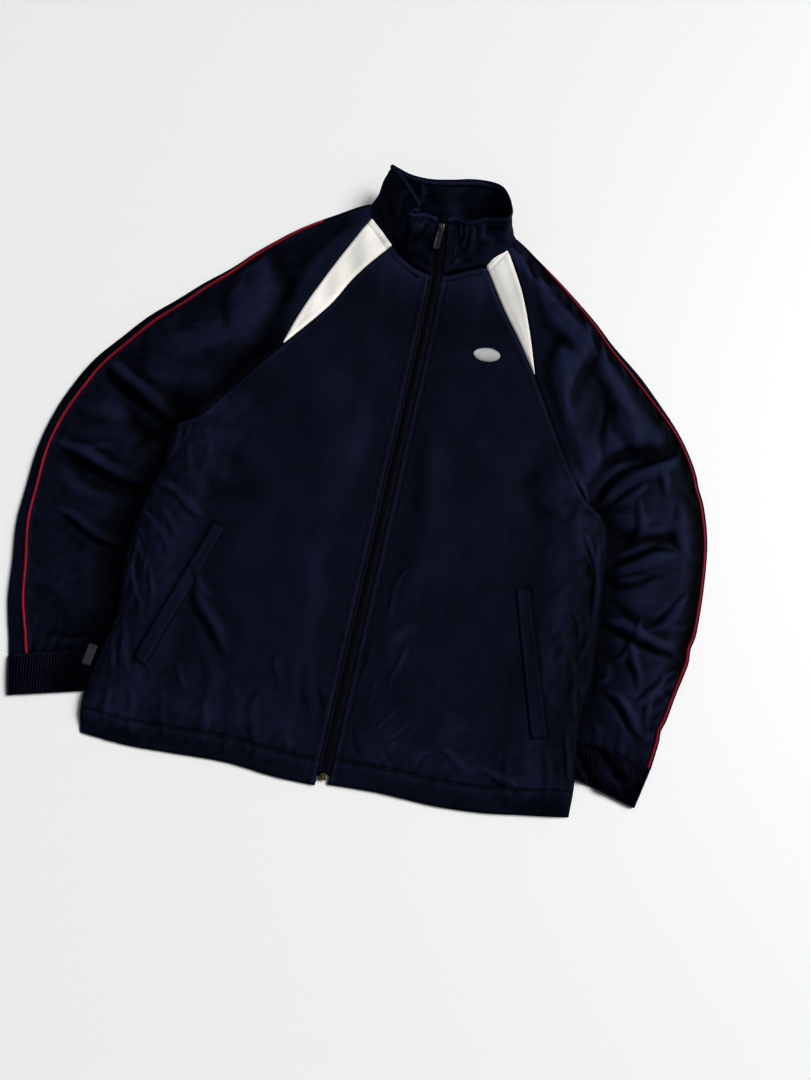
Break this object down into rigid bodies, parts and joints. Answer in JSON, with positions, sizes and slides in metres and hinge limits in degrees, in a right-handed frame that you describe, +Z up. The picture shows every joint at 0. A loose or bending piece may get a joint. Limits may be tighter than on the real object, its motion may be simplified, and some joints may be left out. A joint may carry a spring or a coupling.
{
  "type": "track jacket",
  "caption": "Zip-up track jacket laid flat, front up, with stand collar, raglan sleeves, white inserts, red piping, slanted welt pockets and rib cuffs.",
  "frame": {"origin": "on the centre front line, half way from the neck seam to the hem, on the surface under the back panel", "axes": "+X to the viewer's right, which is the wearer's left; +Y along the zip towards the collar; +Z up, out of the front"},
  "size_m": [0.8453, 0.7886, 0.0604],
  "materials": {
    "navy_cloth": "satin polyester tricot, very dark navy",
    "white_cloth": "satin polyester tricot, warm off-white",
    "red_piping": "satin corded piping, crimson",
    "rib_knit": "matt rib knit, near black navy",
    "zip_tape": "woven zip tape, black",
    "zip_coil": "moulded coil, black",
    "gunmetal": "dark gunmetal plating",
    "brass": "antique brass",
    "silver_tab": "woven tab, silver grey"
  },
  "bodies": {
    "garment": {"back": "navy_cloth", "front_right": "navy_cloth", "front_left": "navy_cloth", "insert_right": "white_cloth", "insert_left": "white_cloth", "sleeve_front_right": "navy_cloth", "sleeve_front_left": "navy_cloth", "sleeve_back_right": "navy_cloth", "sleeve_back_left": "navy_cloth", "piping_right": "red_piping", "piping_left": "red_piping", "collar": "navy_cloth", "cuff_right": "rib_knit", "cuff_left": "rib_knit", "welt_right": "navy_cloth", "welt_left": "navy_cloth", "zip_tape_right": "zip_tape", "zip_tape_left": "zip_tape", "zip_chain": "zip_coil", "zip_slider": "gunmetal", "zip_box": "brass", "label_tab": "silver_tab"},
    "pull": {"zip_pull": "gunmetal"}
  },
  "joints": [
    {"name": "pull_hinge", "type": "hinge", "parent": "garment", "child": "pull", "pos_m": [-0.00672, 0.37636, 0.04369], "axis": [-0.9976, 0.065, 0.0256], "range_deg": [0, 170]}
  ]
}
